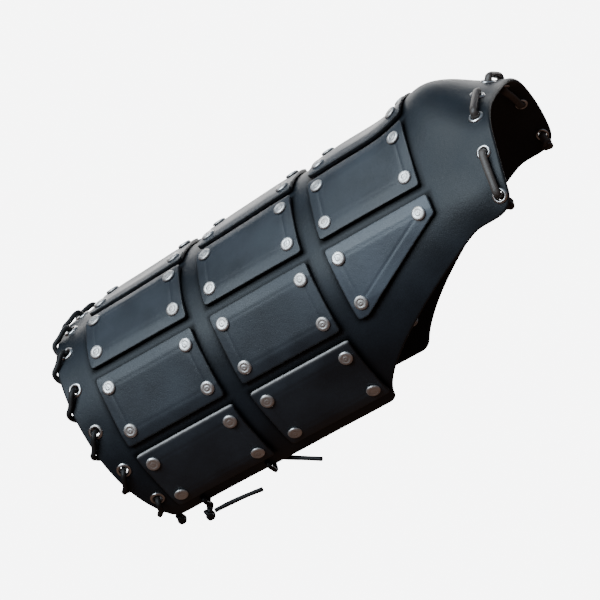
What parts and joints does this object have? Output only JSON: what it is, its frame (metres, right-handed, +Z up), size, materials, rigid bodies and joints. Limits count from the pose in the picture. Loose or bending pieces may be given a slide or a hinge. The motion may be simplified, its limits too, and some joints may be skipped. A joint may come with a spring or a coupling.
{
  "type": "leather pauldron",
  "caption": "Riveted black leather shoulder and upper-arm guard with overlaid plates, laced cuff and a laced shoulder tongue.",
  "frame": {"origin": "middle of the tongue's laced edge, on the shell's inner face, where the pauldron is laced to a cuirass over the shoulder", "axes": "+Z up, -Y towards the wearer's front, +X towards the wearer's body; the sleeve runs down towards -X as worn on a slightly raised right arm"},
  "size_m": [0.3382, 0.2627, 0.3014],
  "materials": {
    "shell_leather": "smooth black leather with a blue-grey sheen, semi-gloss, fine grain",
    "plate_leather": "thick black leather, waxed, with a tooled border line and worn edges",
    "nickel": "nickel-plated, slightly dulled",
    "lace_leather": "round black leather lace, satin, worn brown on its bends"
  },
  "bodies": {
    "root": {"shell": "shell_leather", "plate_back_mid_1": "plate_leather", "plate_back_top_1": "plate_leather", "plate_ridge_1": "plate_leather", "plate_front_top_1": "plate_leather", "plate_front_mid_1": "plate_leather", "plate_back_low_2": "plate_leather", "plate_back_mid_2": "plate_leather", "plate_back_top_2": "plate_leather", "plate_ridge_2": "plate_leather", "plate_front_top_2": "plate_leather", "plate_front_mid_2": "plate_leather", "plate_front_low_2": "plate_leather", "plate_back_low_3": "plate_leather", "plate_back_mid_3": "plate_leather", "plate_back_top_3": "plate_leather", "plate_ridge_3": "plate_leather", "plate_front_top_3": "plate_leather", "plate_front_mid_3": "plate_leather", "plate_front_low_3": "plate_leather", "tongue_eyelet_1": "nickel", "tongue_eyelet_2": "nickel", "tongue_eyelet_3": "nickel", "tongue_eyelet_4": "nickel", "tongue_eyelet_5": "nickel", "tongue_eyelet_6": "nickel", "tongue_eyelet_7": "nickel", "tongue_eyelet_8": "nickel", "cuff_eyelet_1": "nickel", "cuff_eyelet_2": "nickel", "cuff_eyelet_3": "nickel", "cuff_eyelet_4": "nickel", "cuff_eyelet_5": "nickel", "cuff_eyelet_6": "nickel", "cuff_eyelet_7": "nickel", "cuff_eyelet_8": "nickel", "cuff_eyelet_9": "nickel", "cuff_eyelet_10": "nickel", "cuff_eyelet_11": "nickel", "cuff_eyelet_12": "nickel", "cuff_eyelet_13": "nickel", "tongue_lace": "lace_leather", "cuff_lace": "lace_leather", "tie_cuff": "lace_leather", "tie_armpit": "lace_leather", "tie_cuff_end": "lace_leather", "tie_armpit_end": "lace_leather"}
  },
  "joints": []
}
